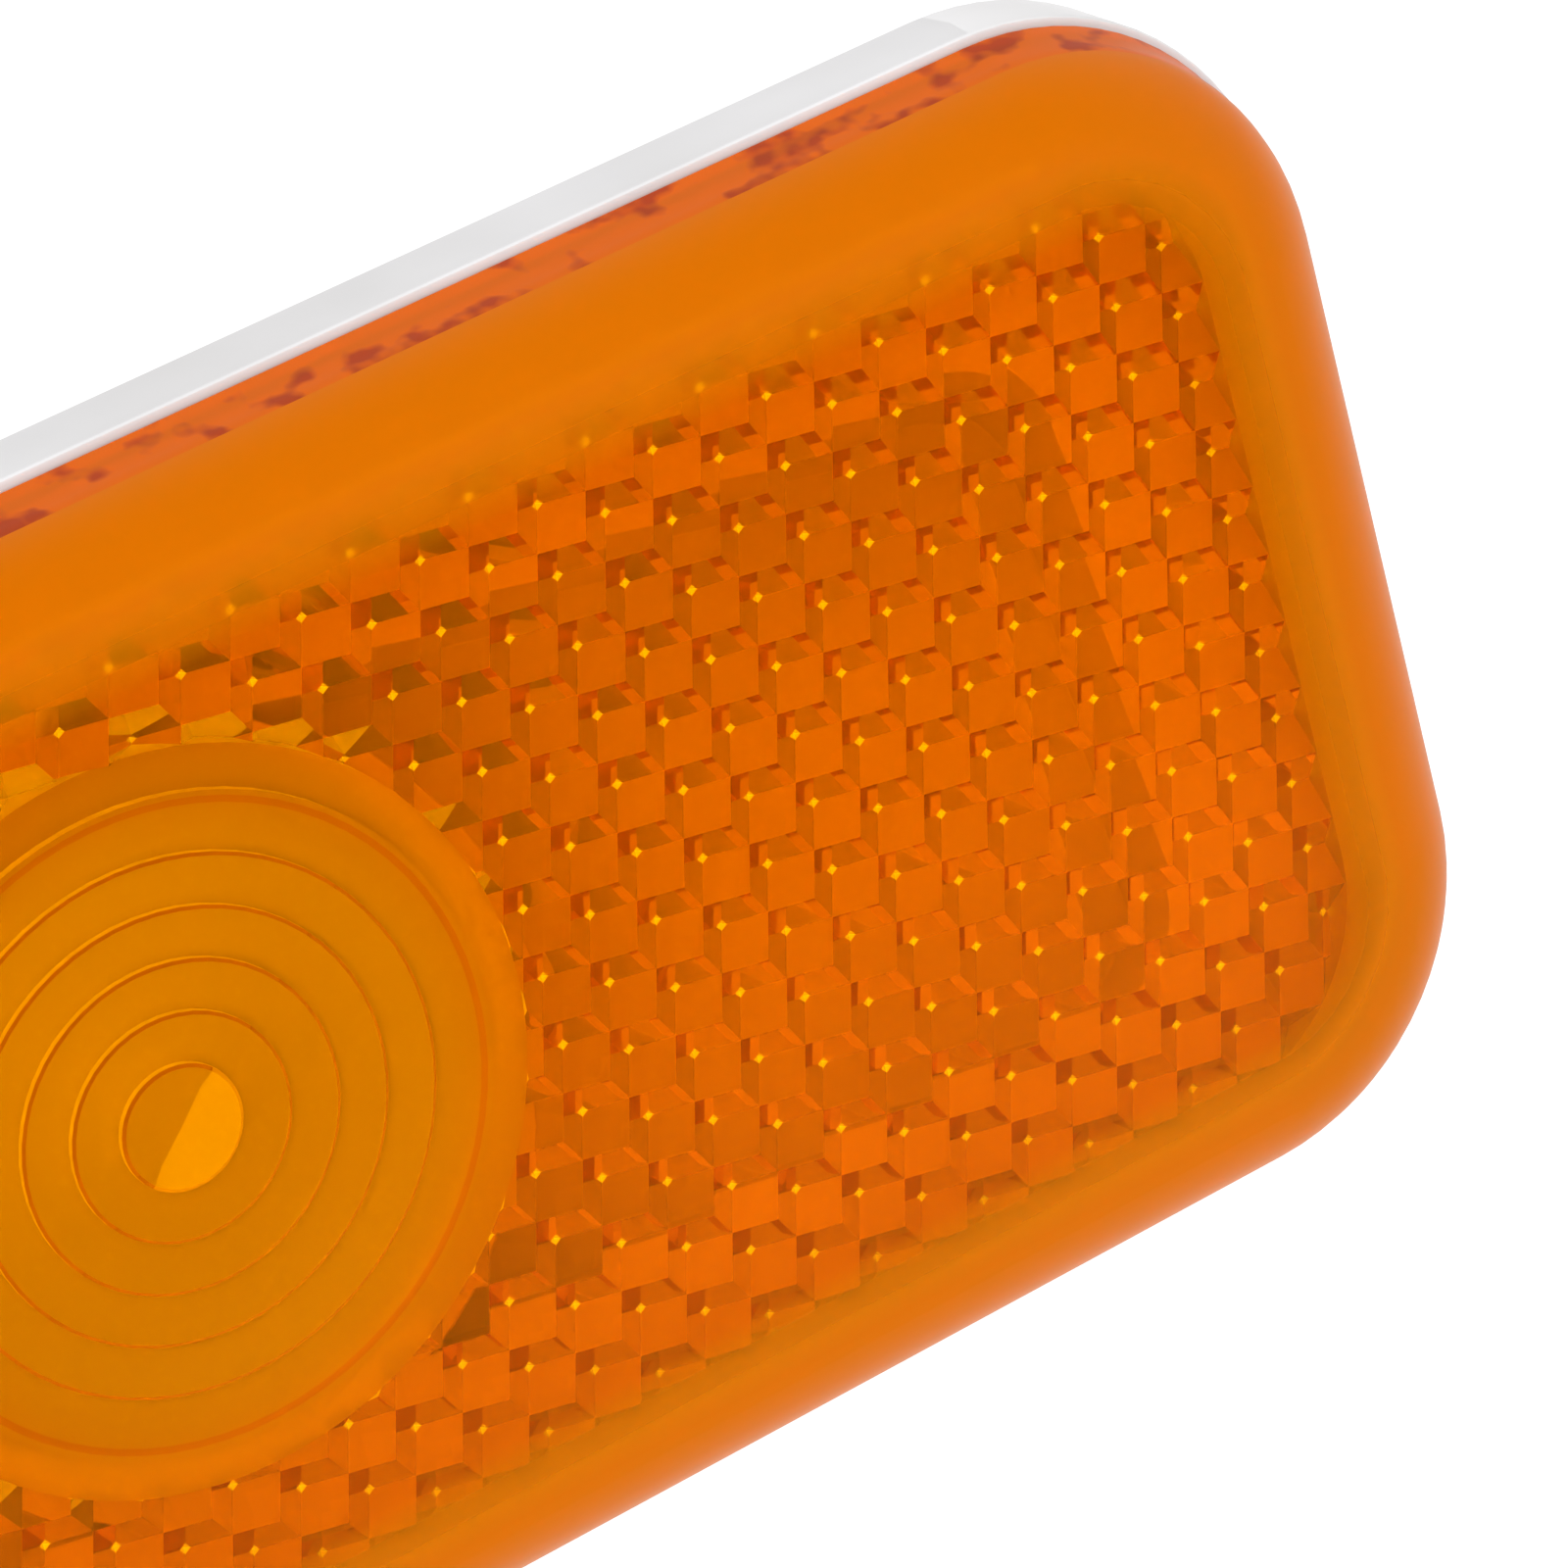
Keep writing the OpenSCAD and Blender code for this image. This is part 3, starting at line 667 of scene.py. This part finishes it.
class REPEATER_OT_stage(bpy.types.Operator):
    """Sets the camera, the pale floor, the even light and the view settings"""
    bl_idname = "repeater.stage"
    bl_label = "Stage"

    def execute(self, context):
        scene = context.scene
        camera_at(scene)
        floor_below(scene)
        light_all_round(scene)
        scene.view_settings.view_transform = "Standard"
        # The lens's prisms pass light on through many inner reflections.
        scene.cycles.max_bounces = 24
        scene.cycles.glossy_bounces = 14
        scene.cycles.transmission_bounces = 16
        return {"FINISHED"}


# Stage

def camera_at(scene):
    camera = bpy.data.cameras.new("Camera")
    camera.lens = CAMERA_LENS
    camera.sensor_width = SENSOR
    camera.clip_start = MM
    stand = bpy.data.objects.new("Camera", camera)
    stand.location = CAMERA_PLACE
    stand.rotation_euler = [radians(a) for a in CAMERA_TURN]
    scene.collection.objects.link(stand)
    scene.camera = stand


def lit(tree):
    """Says of a ray that meets the floor or the sky whether it is seen, whether it has met a matt
    surface, and whether it has passed the lens."""
    path = add(tree, "ShaderNodeLightPath").outputs
    matt = add(tree, "ShaderNodeMath", {0: path["Diffuse Depth"], 1: 0.5}, operation="GREATER_THAN")
    passed = add(tree, "ShaderNodeMath", {0: path["Transmission Depth"], 1: 1.0}, operation="MINIMUM")
    return path["Is Camera Ray"], matt.outputs["Value"], passed.outputs["Value"]


def floor_below(scene):
    """A wide pale floor under the lamp, which keeps the lamp's shadow. Its back part is painted pale with
    a faint painted glow, and its front part painted dim for mirror rays.
    """
    bpy.ops.mesh.primitive_plane_add(size=FLOOR_SIZE, location=(0, 0, CAD_BOX[0].z - FLOOR_DROP))
    floor = bpy.context.object
    floor.name = "floor"
    made, tree = new_material("Pale paper floor")
    seen, matt = lit(tree)[:2]
    place = add(tree, "ShaderNodeTexCoord").outputs["Object"]
    depth = add(tree, "ShaderNodeSeparateXYZ", {"Vector": place}).outputs["Y"]
    # Painted light on the floor: pale and glowing behind the lamp, dim in front where mirrors see it.
    behind = add(tree, "ShaderNodeMapRange", {"Value": depth, "From Min": FLOOR_DIM_TO,
                 "From Max": FLOOR_PALE_FROM}).outputs["Result"]
    direct = add(tree, "ShaderNodeMath", {0: 1.0, 1: matt}, operation="SUBTRACT").outputs["Value"]
    painted_glow = add(tree, "ShaderNodeMath", {0: behind, 1: direct}, operation="MULTIPLY").outputs["Value"]
    painted_glow_strength = add(tree, "ShaderNodeMath", {0: painted_glow, 1: FLOOR_PAINTED_GLOW}, operation="MULTIPLY")
    bright = add(tree, "ShaderNodeMath", {0: seen, 1: matt}, operation="MAXIMUM").outputs["Value"]
    pale = add(tree, "ShaderNodeMath", {0: bright, 1: behind}, operation="MAXIMUM").outputs["Value"]
    dim = (*scene.repeater_finish.dim_front, 1)
    surface(tree, {"Base Color": two_tone(tree, pale, dim, (0.9, 0.9, 0.9, 1)),
                   "Roughness": 0.9, "Emission Color": (1, 1, 1, 1),
                   "Emission Strength": painted_glow_strength.outputs["Value"]})
    floor.data.materials.append(made)


def light_all_round(scene):
    """An even sky, which is stronger where it comes in through the lens, most of all from the upper
    left. Mirrors see a pale room behind the lamp and a dim, warm one in front of it."""
    look = scene.repeater_finish
    world = bpy.data.worlds.new("Studio")
    scene.world = world
    world.use_nodes = True
    tree = world.node_tree
    tree.nodes.clear()
    seen, matt, passed = lit(tree)
    toward = add(tree, "ShaderNodeTexCoord").outputs["Generated"]
    back = add(tree, "ShaderNodeVectorMath", {0: toward, 1: BEHIND}, operation="DOT_PRODUCT")
    room = add(tree, "ShaderNodeMapRange", {"Value": back.outputs["Value"], "From Min": -0.4,
               "From Max": 0.1}).outputs["Result"]
    left = add(tree, "ShaderNodeVectorMath", {0: toward, 1: WINDOW}, operation="DOT_PRODUCT")
    window = add(tree, "ShaderNodeMapRange", {"Value": left.outputs["Value"], "From Min": 0.3,
                 "From Max": 1.0, "To Min": look.sky_through, "To Max": look.window}).outputs["Result"]
    even = add(tree, "ShaderNodeMix", {"Factor": passed, "A": look.sky, "B": window}).outputs["Result"]
    plain = (1, 1, 1, 1)
    mirrored = two_tone(tree, room, (*look.dim_front, 1), (look.pale_back,) * 3 + (1,))
    other = two_tone(tree, matt, mirrored, plain)
    level = add(tree, "ShaderNodeMix", {"Factor": matt, "A": 1.0, "B": even}).outputs["Result"]
    strength = add(tree, "ShaderNodeMix", {"Factor": seen, "A": level, "B": 1.0}).outputs["Result"]
    light = add(tree, "ShaderNodeBackground", {"Color": two_tone(tree, seen, other, plain),
                "Strength": strength})
    add(tree, "ShaderNodeOutputWorld", {"Surface": light.outputs["Background"]})


# Panel, registration and run

class REPEATER_PT_panel(bpy.types.Panel):
    """Lists the pieces, their sizes and their colours"""
    bl_label = "Side repeater lamp"
    bl_idname = "REPEATER_PT_panel"
    bl_space_type = "VIEW_3D"
    bl_region_type = "UI"
    bl_category = "Repeater"

    def draw(self, context):
        for group in (context.scene.repeater_sizes, context.scene.repeater_finish):
            for name in group.bl_rna.properties.keys():
                if name not in ("rna_type", "name"):
                    self.layout.prop(group, name)
        for operator in OPERATORS:
            self.layout.operator(operator.bl_idname)


OPERATORS = (REPEATER_OT_lens, REPEATER_OT_housing, REPEATER_OT_seals, REPEATER_OT_clip,
             REPEATER_OT_holder, REPEATER_OT_bulb, REPEATER_OT_stage)
CLASSES = (RepeaterSizes, RepeaterFinish, *OPERATORS, REPEATER_PT_panel)


def register():
    for kind in CLASSES:
        bpy.utils.register_class(kind)
    bpy.types.Scene.repeater_sizes = PointerProperty(type=RepeaterSizes)
    bpy.types.Scene.repeater_finish = PointerProperty(type=RepeaterFinish)


def unregister():
    del bpy.types.Scene.repeater_finish
    del bpy.types.Scene.repeater_sizes
    for kind in reversed(CLASSES):
        bpy.utils.unregister_class(kind)


def main():
    register()
    for operator in OPERATORS:
        getattr(bpy.ops.repeater, operator.bl_idname.split(".")[1])()
    bpy.context.view_layer.update()


if __name__ == "__main__":
    main()
